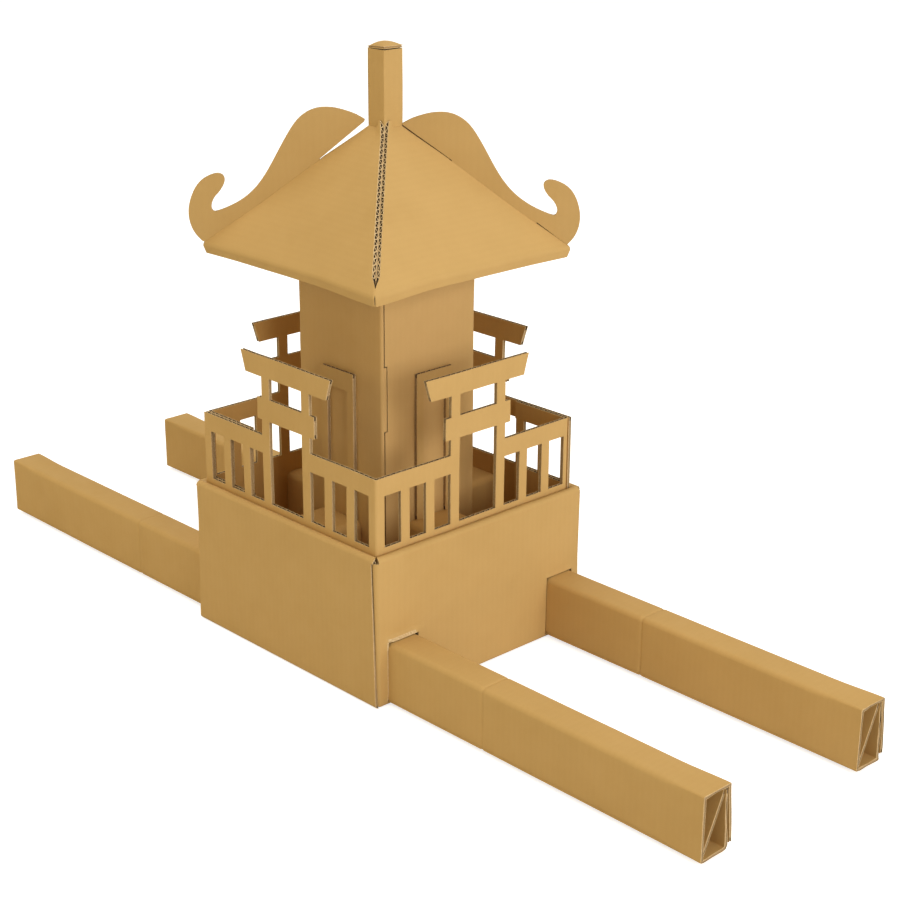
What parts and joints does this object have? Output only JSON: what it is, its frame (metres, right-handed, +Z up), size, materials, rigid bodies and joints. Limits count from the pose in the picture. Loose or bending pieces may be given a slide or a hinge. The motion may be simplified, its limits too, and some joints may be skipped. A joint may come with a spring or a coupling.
{
  "type": "cardboard portable shrine",
  "caption": "Folded-board portable shrine: a square tower with a hipped roof and curled ridge ornaments, ringed by a gated railing, on a tray carried by long poles.",
  "frame": {"origin": "on the floor under the middle of the tray", "axes": "+X along the carrying poles, +Z up, +Y across the poles"},
  "size_m": [0.9, 0.242, 0.5169],
  "materials": {
    "tray_board": "matt brown kraft corrugated board",
    "deck_board": "matt brown kraft corrugated board",
    "pole_board": "matt brown kraft corrugated board",
    "railing_board": "matt brown kraft corrugated board",
    "tower_board": "matt brown kraft corrugated board",
    "roof_board": "matt brown kraft corrugated board",
    "finial_board": "matt brown kraft corrugated board",
    "walkway_board": "matt brown kraft corrugated board",
    "door_board": "matt brown kraft corrugated board",
    "ornament_board": "matt brown kraft corrugated board"
  },
  "bodies": {
    "root": {"base_box": "tray_board", "deck": "deck_board", "door_frame_east": "door_board", "door_frame_north": "door_board", "door_frame_south": "door_board", "door_frame_west": "door_board", "finial_post": "finial_board", "pole_far": "pole_board", "pole_near": "pole_board", "railing_back": "railing_board", "railing_front": "railing_board", "ridge_ornament_left": "ornament_board", "ridge_ornament_right": "ornament_board", "roof": "roof_board", "tower": "tower_board", "walkway_east": "walkway_board", "walkway_north": "walkway_board", "walkway_south": "walkway_board", "walkway_west": "walkway_board"}
  },
  "joints": []
}
